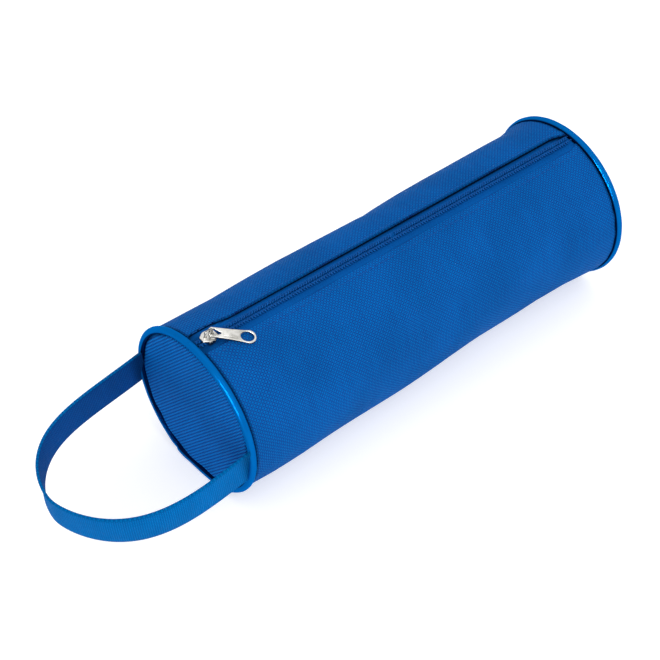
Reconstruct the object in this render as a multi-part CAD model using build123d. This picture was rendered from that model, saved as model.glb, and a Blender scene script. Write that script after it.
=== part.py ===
from build123d import *
import math
import os

# Round cloth pencil case with a zipped mouth and a carrying loop, in mm.
# X runs along the case: the loop is at -X. Y points to the back, Z up.
# The origin is the middle of the flat strip the case lies on.

# case
CASE_LENGTH = 220.0
RIM_DIAMETER = 80.0
PIPING_DIAMETER = 3.4
BODY_RADIUS = 38.6
CLOTH = 1.2
AXIS_HEIGHT = 38.2
SAG_FILLET = 12.0
GAP = 0.3
SEAM_WIDTH = 3.0

# zipper
ZIP_ROLL = 5.4
ZIP_YAW = 1.05
TAPE_WIDTH = 12.0
TAPE_THICKNESS = 0.6
TAPE_RADIUS = 37.1
TAPE_EDGE = 0.35
BACK_LIP = 4.9
FRONT_LIP = 3.8
COIL_PITCH = 1.4
COIL_INNER = 0.45
COIL_OUTER = 2.1
COIL_SPINE = 0.7
COIL_BOTTOM = 37.15
COIL_HEIGHT = 1.6

# opening lip
FLAP_HALF_LENGTH = 90.0
FLAP_HINGE = 55.0
HINGE_GAP = 0.5

# stitches
STITCH_LENGTH = 2.3
STITCH_PITCH = 3.1
STITCH_WIDTH = 0.5
STITCH_HEIGHT = 0.35
BACK_ROW = 6.7
FRONT_ROW = 8.8

# slider
SLIDER_X = -102.6
SLIDER_LENGTH = 7.4
SLIDER_WIDTH = 6.3
SLIDER_NOSE = 3.0
SLIDER_REAR = 4.4
SLIDER_ROOF = 39.1
SLIDER_TOP = 39.9
SLIDER_FLOOR = 35.8
SLIDER_BASE = 35.0
FLANGE_WIDTH = 0.5
FLANGE_OUTER = 3.15
FLANGE_LENGTH = 3.4
FLANGE_LIP = 37.6
WEDGE_WIDTH = 0.5
BRIDGE_LENGTH = 4.2
BRIDGE_LEG = 0.6
BRIDGE_WIDTH = 0.8
BRIDGE_UNDER = 42.9
BRIDGE_TOP = 43.7

# pull tab
TAB_HEIGHT = 42.0
TAB_OFFSET = 0.45
TAB_SWIVEL = 36.5
TAB_SLOPE = 10.9
TAB_TILT = 12.0
TAB_THICKNESS = 1.0
TAB_EYE_WIDTH = 4.7
TAB_WIDTH = 6.2
TAB_LENGTH = 19.8
TAB_BAR = 0.9
EYE_LENGTH = 4.3
EYE_WIDTH = 3.1
TAB_HOLE_RADIUS = 2.25
TAB_PLATE_X = 8.9
TAB_PLATE_LENGTH = 6.0
TAB_PLATE_WIDTH = 3.2
TAB_PLATE_RISE = 0.2

# carrying loop
STRAP_WIDTH = 20.0
STRAP_THICKNESS = 1.3
STRAP_REACH = 72.5
STRAP_ROOT = 12.0
STRAP_RADIUS = 37.3
STRAP_BACK_ANGLE = -0.7
STRAP_FRONT_ANGLE = 185.1
STRAP_DROOP = 12.6
STRAP_LEAN = 7.7
STRAP_SKEW = 6.0
STRAP_SIDE_POWER = 1.24
STRAP_TIP_POWER = 0.47
STRAP_STEPS = 40

# derived
HALF_LENGTH = CASE_LENGTH / 2
PIPING_RADIUS = PIPING_DIAMETER / 2
PIPING_PATH_RADIUS = RIM_DIAMETER / 2 - PIPING_RADIUS
PIPING_X = HALF_LENGTH - PIPING_RADIUS
BODY_HALF = HALF_LENGTH - PIPING_DIAMETER
INNER_RADIUS = BODY_RADIUS - CLOTH
PANEL_RADIUS = RIM_DIAMETER / 2 - PIPING_DIAMETER - 0.2
PANEL_FLOOR = PIPING_DIAMETER + 0.1
PANEL_X = HALF_LENGTH - 2.0
SEAM_OUTER = 36.2
SEAM_INNER = SEAM_OUTER - CLOTH
SEAM_X = BODY_HALF - 0.1
TAPE_HALF = BODY_HALF - 0.2


def flattened(radius, floor):
    """Round outline that has sagged onto a flat strip at the given height."""
    circle = Pos(0, AXIS_HEIGHT) * Circle(radius)
    above = Pos(0, floor + 2 * radius) * Rectangle(4 * radius, 4 * radius)
    outline = circle & above
    return fillet(outline.vertices(), SAG_FILLET)


def tube(outer, inner, half):
    """Wall between two flattened outlines, centred on the middle of the case."""
    return extrude(Plane.YZ * (outer - inner), half, both=True)


def wedge(start, end, x0, x1):
    """Slice of the space round the case axis between two angles from the top."""
    reach = 3 * BODY_RADIUS
    middle = (start + end) / 2
    corners = [(0.0, AXIS_HEIGHT)]
    for angle in (start, middle, end):
        turn = math.radians(angle)
        corners.append((-reach * math.sin(turn), AXIS_HEIGHT + reach * math.cos(turn)))
    face = make_face(Polyline(*corners, close=True))
    return Pos(x0, 0, 0) * extrude(Plane.YZ * face, x1 - x0)


def on_zipper(shape):
    """Turns a shape built over the top line, with Y to the back, on to the zipper's line."""
    return Pos(0, 0, AXIS_HEIGHT) * Rot(ZIP_ROLL, 0, 0) * Rot(0, 0, -ZIP_YAW) * shape


def zip_strip(back, front):
    """Slab along the zipper between two distances in front of its centre line."""
    slab = Box(2 * CASE_LENGTH, front - back, BODY_RADIUS)
    return on_zipper(Pos(0, -(front + back) / 2, BODY_RADIUS) * slab)


def body_wall():
    outer = flattened(BODY_RADIUS, 0.0)
    inner = flattened(INNER_RADIUS, CLOTH)
    return tube(outer, inner, BODY_HALF)


def body_panel():
    hinge = -FLAP_HINGE - math.degrees(HINGE_GAP / BODY_RADIUS)
    flap_end = FLAP_HALF_LENGTH + GAP
    mouth = wedge(hinge, ZIP_ROLL, -flap_end, flap_end)
    return body_wall() - zip_strip(-BACK_LIP, FRONT_LIP) - mouth


def mouth_flap():
    hinge = -FLAP_HINGE + math.degrees(HINGE_GAP / BODY_RADIUS)
    lip = body_wall() & wedge(hinge, ZIP_ROLL, -FLAP_HALF_LENGTH, FLAP_HALF_LENGTH)
    return lip - zip_strip(-BACK_LIP, TAPE_WIDTH)


def end_panel(side):
    face = Plane.YZ * flattened(PANEL_RADIUS, PANEL_FLOOR)
    return Pos(side * PANEL_X, 0, 0) * extrude(face, side * CLOTH)


def piping(side):
    path = Pos(side * PIPING_X, 0, 0) * (Plane.YZ * flattened(PIPING_PATH_RADIUS, PIPING_RADIUS))
    top = (side * PIPING_X, 0, AXIS_HEIGHT + PIPING_PATH_RADIUS)
    section = Plane(origin=top, z_dir=(0, 1, 0)) * Circle(PIPING_RADIUS)
    return sweep(section, path=path.wire())


def seam_allowance(side):
    """Ring of turned-in cloth edges, open where the zipper runs through it."""
    outer = flattened(SEAM_OUTER, PANEL_FLOOR - 0.9)
    inner = flattened(SEAM_INNER, PANEL_FLOOR - 0.9 + CLOTH)
    middle = SEAM_X - SEAM_WIDTH / 2
    ring = Pos(side * middle, 0, 0) * tube(outer, inner, SEAM_WIDTH / 2)
    return ring - zip_strip(-BACK_LIP - 1, FRONT_LIP + 1)


def stitch():
    return Box(STITCH_LENGTH, STITCH_WIDTH, STITCH_HEIGHT)


def seam_thread(side):
    radius = SEAM_INNER - STITCH_HEIGHT / 2 - 0.05
    count = int(2 * math.pi * radius / STITCH_PITCH)
    row = []
    for step in range(count):
        angle = 360 * step / count
        if 14 < angle < 156 or 204 < angle < 346:
            spot = Pos(side * (SEAM_X - SEAM_WIDTH / 2), 0, AXIS_HEIGHT) * Rot(angle, 0, 0)
            row.append(spot * Pos(0, 0, radius) * Rot(0, 0, 90) * stitch())
    return Compound(row)


def topstitch(distance, half):
    """Row of stitches that follows the zipper at a distance in front of its centre."""
    count = int(2 * half / STITCH_PITCH)
    radius = BODY_RADIUS + STITCH_HEIGHT / 2 + 0.02
    row = []
    for step in range(count):
        x = (step - (count - 1) / 2) * STITCH_PITCH
        aside = distance + x * math.sin(math.radians(ZIP_YAW))
        turn = math.degrees(math.asin(aside / radius))
        height = radius * math.cos(math.radians(turn))
        row.append(on_zipper(Pos(x, -distance, height) * Rot(turn, 0, 0) * stitch()))
    return Compound(row)


def zipper_tape(side):
    """Woven tape under one lip; side is 1 at the front and -1 at the back."""
    inner = TAPE_RADIUS - TAPE_THICKNESS
    ring = Circle(TAPE_RADIUS) - Circle(inner)
    band = extrude(Plane.YZ * (Pos(0, AXIS_HEIGHT) * ring), TAPE_HALF, both=True)
    edges = [side * TAPE_EDGE, side * TAPE_WIDTH]
    return band & zip_strip(min(edges), max(edges))


def zipper_coil(side):
    """Toothed edge of one tape, as a comb whose teeth stand in the other's gaps."""
    count = int((2 * TAPE_HALF - COIL_PITCH) / COIL_PITCH)
    start = -count * COIL_PITCH / 2 + (0.25 + 0.25 * side) * COIL_PITCH
    tooth = COIL_PITCH / 2
    spine = COIL_OUTER - COIL_SPINE
    outline = [(start, COIL_OUTER)]
    for step in range(count):
        x = start + step * COIL_PITCH
        outline.append((x, COIL_INNER))
        outline.append((x + tooth, COIL_INNER))
        outline.append((x + tooth, spine))
        outline.append((x + COIL_PITCH, spine))
    end = start + count * COIL_PITCH
    outline.append((end, COIL_OUTER))
    flat = [(x, -side * across) for x, across in outline]
    comb = extrude(make_face(Polyline(*flat, close=True)), COIL_HEIGHT, dir=(0, 0, 1))
    return on_zipper(Pos(0, 0, COIL_BOTTOM) * comb)


def slider_plate(low, high, width):
    """Plate of the slider: blunt nose, broadest before the middle, narrower behind."""
    half = SLIDER_LENGTH / 2
    nose = width * SLIDER_NOSE / SLIDER_WIDTH / 2
    rear = width * SLIDER_REAR / SLIDER_WIDTH / 2
    side = [(-half, nose), (-half + 2.7, width / 2), (0.5, width / 2), (half, rear)]
    outline = side + [(x, -y) for x, y in side[::-1]]
    plate = Pos(0, 0, low) * extrude(make_face(Polyline(*outline, close=True)), high - low, dir=(0, 0, 1))
    return fillet(plate.edges().filter_by(Axis.Z), 0.7)


def slider_flange(side):
    middle = side * (FLANGE_OUTER - FLANGE_WIDTH / 2)
    height = SLIDER_ROOF - FLANGE_LIP
    block = Box(FLANGE_LENGTH, FLANGE_WIDTH, height)
    return Pos(0, middle, FLANGE_LIP + height / 2) * block


def slider_body():
    top = slider_plate(SLIDER_ROOF, SLIDER_TOP, SLIDER_WIDTH)
    top = chamfer(top.faces().sort_by(Axis.Z)[-1].edges(), 0.3)
    base = slider_plate(SLIDER_BASE, SLIDER_FLOOR, SLIDER_WIDTH - 0.4)
    height = SLIDER_ROOF - SLIDER_FLOOR
    web = Box(1.6, WEDGE_WIDTH, height)
    web = Pos(-SLIDER_LENGTH / 2 + 1.2, 0, SLIDER_FLOOR + height / 2) * web
    shape = top + base + web + slider_flange(1) + slider_flange(-1)
    return on_zipper(Pos(SLIDER_X, 0, 0) * shape)


def slider_bridge():
    half = BRIDGE_LENGTH / 2
    outline = Rectangle(BRIDGE_LENGTH, BRIDGE_TOP - SLIDER_TOP, align=(Align.CENTER, Align.MIN))
    opening = Rectangle(
        2 * (half - BRIDGE_LEG), BRIDGE_UNDER - SLIDER_TOP, align=(Align.CENTER, Align.MIN)
    )
    arch = extrude(Plane.XZ * (outline - opening), BRIDGE_WIDTH / 2, both=True)
    upper = arch.edges().filter_by(Axis.Y).group_by(Axis.Z)[-1]
    arch = fillet(upper, 0.6)
    return on_zipper(Pos(SLIDER_X, 0, SLIDER_TOP) * arch)


def tab_outline():
    end_radius = TAB_WIDTH / 2
    centre = TAB_LENGTH - end_radius
    eye = TAB_EYE_WIDTH / 2
    bar = -TAB_BAR / 2
    taper = [(bar, -eye), (EYE_LENGTH, -eye), (centre, -end_radius)]
    taper += [(centre, end_radius), (EYE_LENGTH, eye), (bar, eye)]
    shape = make_face(Polyline(*taper, close=True))
    corners = shape.vertices().group_by(Axis.X)[0]
    shape = fillet(corners, 1.3)
    return shape + Pos(centre, 0) * Circle(end_radius)


def pull_tab():
    centre = TAB_LENGTH - TAB_WIDTH / 2
    eye = RectangleRounded(EYE_LENGTH, EYE_WIDTH, 0.7)
    eye = Pos(TAB_BAR / 2 + EYE_LENGTH / 2, 0) * eye
    ring_hole = Pos(centre, 0) * Circle(TAB_HOLE_RADIUS)
    sheet = extrude(tab_outline() - eye - ring_hole, TAB_THICKNESS / 2, both=True)
    plate = Box(TAB_PLATE_LENGTH, TAB_PLATE_WIDTH, TAB_THICKNESS / 2 + TAB_PLATE_RISE)
    plate = Pos(TAB_PLATE_X, 0, (TAB_THICKNESS / 2 + TAB_PLATE_RISE) / 2) * plate
    lie = Rot(0, 0, -TAB_SWIVEL) * Rot(0, TAB_SLOPE, 0) * Rot(TAB_TILT, 0, 0)
    shape = lie * (sheet + plate)
    return on_zipper(Pos(SLIDER_X + TAB_OFFSET, 0, TAB_HEIGHT) * shape)


def anchor(angle):
    """Where one end of the loop leaves the near rim."""
    turn = math.radians(angle)
    y = STRAP_RADIUS * math.cos(turn)
    z = AXIS_HEIGHT + STRAP_RADIUS * math.sin(turn)
    return Vector(-HALF_LENGTH, y, z)


def strap_plane():
    """Plane of the loop: X leads away from the case, Y from front end to back end."""
    back = anchor(STRAP_BACK_ANGLE)
    front = anchor(STRAP_FRONT_ANGLE)
    across = (back - front).normalized()
    droop = math.radians(STRAP_DROOP)
    out = Vector(-math.cos(droop), 0, -math.sin(droop))
    out = (out - across * out.dot(across)).normalized()
    return Plane(origin=(back + front) / 2, x_dir=out, z_dir=out.cross(across))


def strap_point(part):
    """Middle of the webbing in the loop's plane; part runs from 0 at the back to 1."""
    half = (anchor(STRAP_BACK_ANGLE) - anchor(STRAP_FRONT_ANGLE)).length / 2
    turn = math.pi * (part - math.sin(2 * math.pi * part) / (2 * math.pi))
    side = math.copysign(abs(math.cos(turn)) ** STRAP_SIDE_POWER, math.cos(turn))
    tip = max(math.sin(turn), 0.0) ** STRAP_TIP_POWER
    return STRAP_REACH * tip, half * side + STRAP_SKEW * tip * tip


def strap_edge(offset, steps):
    """Points of the webbing's face that lies the given distance outside its middle."""
    points = []
    for step in steps:
        part = step / STRAP_STEPS
        ahead = strap_point(min(part + 0.001, 1.0))
        behind = strap_point(max(part - 0.001, 0.0))
        run = (ahead[0] - behind[0], ahead[1] - behind[1])
        length = math.hypot(run[0], run[1])
        x, y = strap_point(part)
        points.append((x - offset * run[1] / length, y + offset * run[0] / length))
    return points


def strap_band(steps, x_low, x_high):
    """Webbing between two distances from the rim, swept across its width."""
    plane = strap_plane()
    outer = strap_edge(STRAP_THICKNESS / 2, steps)
    inner = strap_edge(-STRAP_THICKNESS / 2, steps)
    edges = [Spline(*outer), Spline(*inner)]
    edges.append(Line(outer[0], inner[0]))
    edges.append(Line(outer[-1], inner[-1]))
    band = make_face(edges)
    window = Pos((x_low + x_high) / 2, 0) * Rectangle(x_high - x_low, 4 * STRAP_REACH)
    band = band & window
    lean = plane.z_dir if plane.z_dir.Z > 0 else -plane.z_dir
    lean = (lean - Vector(0, math.tan(math.radians(STRAP_LEAN)), 0)).normalized()
    placed = Pos(*tuple(lean * (-STRAP_WIDTH / 2))) * (plane * band)
    return extrude(placed, STRAP_WIDTH, dir=lean)


def strap_loop():
    return strap_band(range(0, STRAP_STEPS + 1), STRAP_ROOT, 2 * STRAP_REACH)


def strap_end(side):
    """Short tail of the webbing between the near rim's seam and the loop."""
    band = strap_band(range(0, STRAP_STEPS + 1), 0.0, STRAP_ROOT - GAP)
    tail = band.solids().sort_by(Axis.Y)[0 if side > 0 else -1]
    outside = Box(STRAP_REACH, 4 * BODY_RADIUS, 4 * BODY_RADIUS)
    return tail & (Pos(-HALF_LENGTH - STRAP_REACH / 2 - 0.02, 0, AXIS_HEIGHT) * outside)


NODES = {
    "body_panel": body_panel,
    "mouth_flap": mouth_flap,
    "near_end_panel": lambda: end_panel(-1),
    "far_end_panel": lambda: end_panel(1),
    "near_piping": lambda: piping(-1),
    "far_piping": lambda: piping(1),
    "near_seam_allowance": lambda: seam_allowance(-1),
    "far_seam_allowance": lambda: seam_allowance(1),
    "near_seam_thread": lambda: seam_thread(-1),
    "far_seam_thread": lambda: seam_thread(1),
    "zipper_tape_front": lambda: zipper_tape(1),
    "zipper_tape_back": lambda: zipper_tape(-1),
    "zipper_coil_front": lambda: zipper_coil(1),
    "zipper_coil_back": lambda: zipper_coil(-1),
    "topstitch_front": lambda: topstitch(FRONT_ROW, BODY_HALF - 3),
    "topstitch_back": lambda: topstitch(-BACK_ROW, FLAP_HALF_LENGTH - 1),
    "slider_body": slider_body,
    "slider_bridge": slider_bridge,
    "pull_tab": pull_tab,
    "strap_loop": strap_loop,
    "strap_end_front": lambda: strap_end(1),
    "strap_end_back": lambda: strap_end(-1),
}

os.makedirs("parts", exist_ok=True)
for name, build in NODES.items():
    shape = build()
    export_step(shape, f"parts/{name}.step")
    box = shape.bounding_box()
    low = [round(v, 2) for v in tuple(box.min)]
    high = [round(v, 2) for v in tuple(box.max)]
    print(name, low, high, round(shape.volume, 1))
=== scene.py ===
import math

import bmesh
import bpy
import numpy as np
from mathutils import Matrix, Quaternion, Vector


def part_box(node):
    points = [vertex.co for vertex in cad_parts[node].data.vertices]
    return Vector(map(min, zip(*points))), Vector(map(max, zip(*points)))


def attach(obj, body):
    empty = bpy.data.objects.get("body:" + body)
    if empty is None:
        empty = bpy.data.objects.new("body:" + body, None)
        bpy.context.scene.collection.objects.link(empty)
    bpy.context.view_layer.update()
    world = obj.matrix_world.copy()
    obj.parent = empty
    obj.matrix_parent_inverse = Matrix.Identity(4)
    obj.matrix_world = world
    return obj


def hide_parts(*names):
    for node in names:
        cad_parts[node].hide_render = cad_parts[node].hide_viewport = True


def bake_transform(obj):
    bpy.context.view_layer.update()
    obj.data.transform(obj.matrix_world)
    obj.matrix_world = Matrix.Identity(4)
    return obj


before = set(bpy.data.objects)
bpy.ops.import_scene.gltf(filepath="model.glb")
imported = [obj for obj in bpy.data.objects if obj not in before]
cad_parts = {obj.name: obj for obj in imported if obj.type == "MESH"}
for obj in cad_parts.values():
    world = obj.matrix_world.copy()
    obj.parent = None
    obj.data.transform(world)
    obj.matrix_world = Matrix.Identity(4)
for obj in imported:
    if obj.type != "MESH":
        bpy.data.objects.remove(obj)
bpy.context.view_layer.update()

# Lengths below are in mm and angles in degrees; MM takes them to the frame's metres.
MM = 0.001


def span(node):
    """Lowest and highest corner of a CAD node, in mm."""
    low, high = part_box(node)
    return np.array(low) / MM, np.array(high) / MM


# The case as the frame has it.
near_low, near_high = span("near_piping")
body_low, body_high = span("body_panel")
HALF = (span("far_piping")[1][0] - near_low[0]) / 2
RADIUS = (body_high[1] - body_low[1]) / 2
AXIS = near_high[2] - (near_high[1] - near_low[1]) / 2
BODY_HALF = body_high[0]
PIPE = (near_high[0] - near_low[0]) / 2
PIPE_X = HALF - PIPE
PIPE_RING = (near_high[1] - near_low[1]) / 2 - PIPE

# Ends: how the near one leans outward, the cloth discs, the turned-in seam edges and the piping's flange.
LEAN_ALL = 1.3
LEAN_TILT = 1.6
LEAN_TOWARDS = math.radians(60)
PANEL_X = 109.0
PANEL_RADIUS = 36.7
PANEL_FLOOR = 3.2
END_WEAVE_TILT = -1.7
SEAM_RADIUS = 36.1
SEAM_THICKNESS = 0.95
SEAM_SOFT = 0.8
SEAM_ROW = 105.0
PIPE_FLANGE = [(-2.2, -0.5), (-3.1, -0.55), (-3.1, -1.25), (-2.0, -1.3)]

# Cloth: its thickness, the spacing of its sections, the radius of its turn at the rims and the points across
# a hem. TONGUE is the angle past the hinge of the strip of each lip that is hidden at the fold. The last two
# are painted shade: how dark the cloth is painted where it turns in at the rims and along the back lip's
# fold.
CLOTH = 0.75
STATION = 1.9
TURN_IN = 1.0
EDGE_STEPS = 4
HEM_START = 0.5
HEM_STEPS = np.array([0, 0.35, 0.8, 1.4, 2.0, 2.7, 3.4, 4.0, 4.6, 5.2, 6.0, 7.0, 8.2, 9.4])
GROOVE = 0.16
FRONT_HEM = 0.18
BACK_HEM = 0.45
TONGUE = 2.4
RIM_PAINTED_SHADE = 0.66
LIP_PAINTED_SHADE = 0.55

# Zipper: its line is rolled towards the front and a little out of line with the case. Heights are from the
# case's axis. The back lip runs from its edge round to HINGE.
ROLL = 5.4
YAW = 1.05
TAPE_OUTER = 37.1
TAPE_THICKNESS = 0.6
TAPE_EDGE = 0.68
TAPE_WIDTH = 12.0
COIL_PITCH = 1.4
COIL_MIDDLE = 37.95
COIL_REACH = 2.1
COIL_RISE = 0.47
COIL_STEPS = 14
WIRE = 0.28
BACK_ROW = 6.7
FRONT_ROW = 8.8
WEDGE_GAP = 0.4
CHAIN_ROWS = (1.1, 1.55)
CHAIN_RADIUS = 0.11
HINGE = -55.0

# Slider, in the zipper line's own frame; LEG is where its bridge stands, before and behind the middle.
SLIDER_X = -102.6
SLIDER_LENGTH = 7.4
SLIDER_WIDTH = 6.3
SLIDER_ROOF = 39.1
SLIDER_TOP = 39.9
SLIDER_FLOOR = 35.8
SLIDER_BASE = 35.0
FLANGE_LOW = 37.6
FLANGE_HIGH = 39.3
LEG = 1.8

# Pull tab: its pivot, how it swivels, slopes and rolls, and the arc round its hole.
TAB_HEIGHT = 42.0
TAB_SWIVEL = 36.5
TAB_SLOPE = 10.9
TAB_ROLL = 12.0
TAB_END = (16.7, 3.1)

# Carrying loop: its webbing, where its ends are sewn to the rim, and the shape of its run. STRAP_TUCK is how
# far the added points of each end reach into the seam.
STRAP_WIDTH = 20.0
STRAP_THICKNESS = 1.25
STRAP_REACH = 72.5
STRAP_RADIUS = 37.3
STRAP_ENDS = (-0.7, 185.1)
STRAP_DROOP = 12.6
STRAP_LEAN = 7.7
STRAP_SKEW = 6.0
STRAP_SIDE_POWER = 1.24
STRAP_TIP_POWER = 0.47
STRAP_TUCK = np.array([0.6, 1.2, 1.8])

rng = np.random.RandomState(11)


# ---------------------------------------------------------------- materials

class Shader:
    """A small builder for one material's nodes."""

    def __init__(self, name):
        self.material = bpy.data.materials.new(name)
        self.material.use_nodes = True
        self.tree = self.material.node_tree
        self.tree.nodes.clear()
        self.output = self.tree.nodes.new("ShaderNodeOutputMaterial")
        self.bsdf = self.tree.nodes.new("ShaderNodeBsdfPrincipled")
        self.tree.links.new(self.bsdf.outputs[0], self.output.inputs["Surface"])

    def node(self, kind, **settings):
        made = self.tree.nodes.new(kind)
        for key, value in settings.items():
            setattr(made, key, value)
        return made

    def feed(self, socket, value):
        if isinstance(value, bpy.types.NodeSocket):
            self.tree.links.new(value, socket)
        else:
            socket.default_value = value

    def math(self, operation, *values):
        made = self.node("ShaderNodeMath", operation=operation)
        for socket, value in zip(made.inputs, values):
            self.feed(socket, value)
        return made.outputs[0]

    def mix(self, share, first, second):
        made = self.node("ShaderNodeMix", data_type="RGBA")
        self.feed(made.inputs["Factor"], share)
        self.feed(made.inputs["A"], first)
        self.feed(made.inputs["B"], second)
        return made.outputs["Result"]

    def parts(self, vector):
        made = self.node("ShaderNodeSeparateXYZ")
        self.feed(made.inputs[0], vector)
        return made.outputs

    def noise(self, vector, scale, detail=2.0):
        """Noise at a scale, or at one scale for each direction."""
        if isinstance(scale, tuple):
            stretch = self.node("ShaderNodeVectorMath", operation="MULTIPLY")
            self.feed(stretch.inputs[0], vector)
            stretch.inputs[1].default_value = scale
            vector, scale = stretch.outputs[0], 1.0
        made = self.node("ShaderNodeTexNoise")
        self.feed(made.inputs["Vector"], vector)
        made.inputs["Scale"].default_value = scale
        made.inputs["Detail"].default_value = detail
        return made.outputs["Fac"]

    def remap(self, value, low, high, out_low=0.0, out_high=1.0):
        made = self.node("ShaderNodeMapRange", interpolation_type="SMOOTHSTEP")
        self.feed(made.inputs[0], value)
        for socket, number in zip(list(made.inputs)[1:5], (low, high, out_low, out_high)):
            socket.default_value = number
        return made.outputs[0]

    def bump(self, height, distance, strength=1.0, under=None):
        made = self.node("ShaderNodeBump")
        made.inputs["Strength"].default_value = strength
        made.inputs["Distance"].default_value = distance * MM
        self.feed(made.inputs["Height"], height)
        if under is not None:
            self.tree.links.new(under, made.inputs["Normal"])
        return made.outputs[0]

    def weave_coords(self):
        """Thread coordinates stored on the mesh, in mm; the third is painted shade, 0 to 1."""
        return self.node("ShaderNodeAttribute", attribute_name="weave").outputs["Vector"]

    def object_coords(self):
        return self.node("ShaderNodeTexCoord").outputs["Object"]

    def finish(self, color, roughness, normal=None, **constants):
        self.feed(self.bsdf.inputs["Base Color"], color)
        self.feed(self.bsdf.inputs["Roughness"], roughness)
        if normal is not None:
            self.tree.links.new(normal, self.bsdf.inputs["Normal"])
        for key, value in constants.items():
            self.bsdf.inputs[key.replace("_", " ")].default_value = value
        return self.material


def rgb(red, green, blue):
    """Screen colour to the linear values that a shader takes."""
    def linear(value):
        value /= 255
        return value / 12.92 if value <= 0.04045 else ((value + 0.055) / 1.055) ** 2.4
    return (linear(red), linear(green), linear(blue), 1.0)


def plain_weave(shader, across, along):
    """Height of a plain weave, 0 in the crevices to 1 on the threads, and the thread that is on top."""
    split = shader.parts(shader.weave_coords())
    u = shader.math("DIVIDE", split[0], across)
    v = shader.math("DIVIDE", split[1], along)
    cells = shader.math("ADD", shader.math("FLOOR", u), shader.math("FLOOR", v))
    side = shader.math("MULTIPLY_ADD", shader.math("MODULO", shader.math("ABSOLUTE", cells), 2.0), -1.0, 0.5)
    in_u = shader.math("SUBTRACT", shader.math("FRACT", u), 0.5)
    in_v = shader.math("SUBTRACT", shader.math("FRACT", v), 0.5)

    def crown(distance):
        square = shader.math("MULTIPLY", distance, distance)
        return shader.math("MULTIPLY_ADD", square, -2.0, 0.5)

    def wave(distance, sign):
        swing = shader.math("COSINE", shader.math("MULTIPLY", distance, math.pi))
        return shader.math("MULTIPLY", shader.math("MULTIPLY", swing, side), sign)

    warp = shader.math("ADD", crown(in_u), wave(in_v, 1.0))
    weft = shader.math("ADD", crown(in_v), wave(in_u, -1.0))
    over = shader.remap(shader.math("SUBTRACT", warp, weft), -0.35, 0.35, -0.5, 0.5)
    return shader.math("MAXIMUM", warp, weft), over


def woven(name, dark, light, across, along, depth, roughness=0.62, streak=0.2, contrast=0.8):
    """Woven cloth: threads with fine fibres, uneven dye and slightly worn, smoother high spots; painted light
    on the raised and upper threads, painted shade in the crevices and from the third weave coordinate.
    """
    shader = Shader(name)
    coords = shader.weave_coords()
    height, over = plain_weave(shader, across, along)
    fibres = shader.noise(coords, (7.0, 1.6, 1.0), 3.0)
    slub = shader.noise(coords, (0.9, 0.05, 1.0))
    dye = shader.noise(coords, (0.035, 0.03, 1.0), 3.0)
    # Painted light and shade: raised threads and the thread on top lighter, crevices darker; fibres and slubs
    # add tone.
    lit = shader.remap(height, 0.05, 0.75, 0.0, 0.68)
    lit = shader.math("ADD", lit, shader.math("MULTIPLY_ADD", fibres, streak, -streak / 2))
    lit = shader.math("ADD", lit, shader.math("MULTIPLY_ADD", slub, 0.2, -0.1))
    lit = shader.math("ADD", lit, shader.math("MULTIPLY", over, contrast))
    color = shader.mix(shader.remap(lit, 0.0, 1.0), dark, light)
    # Painted shade: the third weave coordinate darkens the colour, along with the uneven dye.
    clear = shader.math("SUBTRACT", 1.0, shader.parts(coords)[2])
    shade = shader.math("MULTIPLY", shader.remap(dye, 0.3, 0.7, 0.9, 1.06), clear)
    tint = shader.node("ShaderNodeHueSaturation")
    shader.feed(tint.inputs["Color"], color)
    shader.feed(tint.inputs["Value"], shade)
    rough = shader.remap(lit, 0.0, 1.0, roughness + 0.15, roughness - 0.06)
    soft = shader.bump(fibres, depth * 0.15, 0.5)
    normal = shader.bump(height, depth, 1.0, soft)
    return shader.finish(
        tint.outputs["Color"], rough, normal,
        Sheen_Weight=0.03, Sheen_Roughness=0.4, Sheen_Tint=(0.0, 0.35, 0.9, 1.0),
        Specular_IOR_Level=0.01, Specular_Tint=(0.1, 0.5, 1.0, 1.0),
    )


def coated(name, color, depth):
    """Smooth coated back of the cloth, seen inside."""
    shader = Shader(name)
    coords = shader.weave_coords()
    grain = shader.noise(coords, (1.1, 1.1, 1.0))
    blotch = shader.noise(coords, (0.06, 0.06, 1.0))
    deep = tuple(channel * 0.72 for channel in color[:3]) + (1.0,)
    tone = shader.mix(shader.remap(blotch, 0.3, 0.7), deep, color)
    normal = shader.bump(grain, depth)
    rough = shader.remap(grain, 0.3, 0.7, 0.38, 0.5)
    return shader.finish(tone, rough, normal, Specular_IOR_Level=0.2, Specular_Tint=(0.3, 0.6, 1.0, 1.0))


def vinyl(name, color, deep):
    """Glossy piping with a faint grain, darkened by painted shade from the third weave coordinate."""
    shader = Shader(name)
    coords = shader.weave_coords()
    grain = shader.noise(coords, (2.2, 2.2, 2.2), 3.0)
    ripple = shader.noise(coords, (0.22, 0.05, 1.0))
    tone = shader.mix(shader.remap(ripple, 0.25, 0.75), deep, color)
    rough = shader.remap(grain, 0.3, 0.7, 0.13, 0.2)
    ridged = shader.bump(ripple, 0.5, 0.5)
    # Painted shade: the cord goes dark blue where the third weave coordinate says.
    clear = shader.math("SUBTRACT", 1.0, shader.parts(coords)[2])
    tone = shader.mix(clear, rgb(0, 20, 60), tone)
    return shader.finish(
        tone, rough, shader.bump(grain, 0.05, 0.6, ridged), Metallic=0.3,
        Specular_IOR_Level=0.0, Specular_Tint=(0.1, 0.6, 1.0, 1.0)
    )


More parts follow.
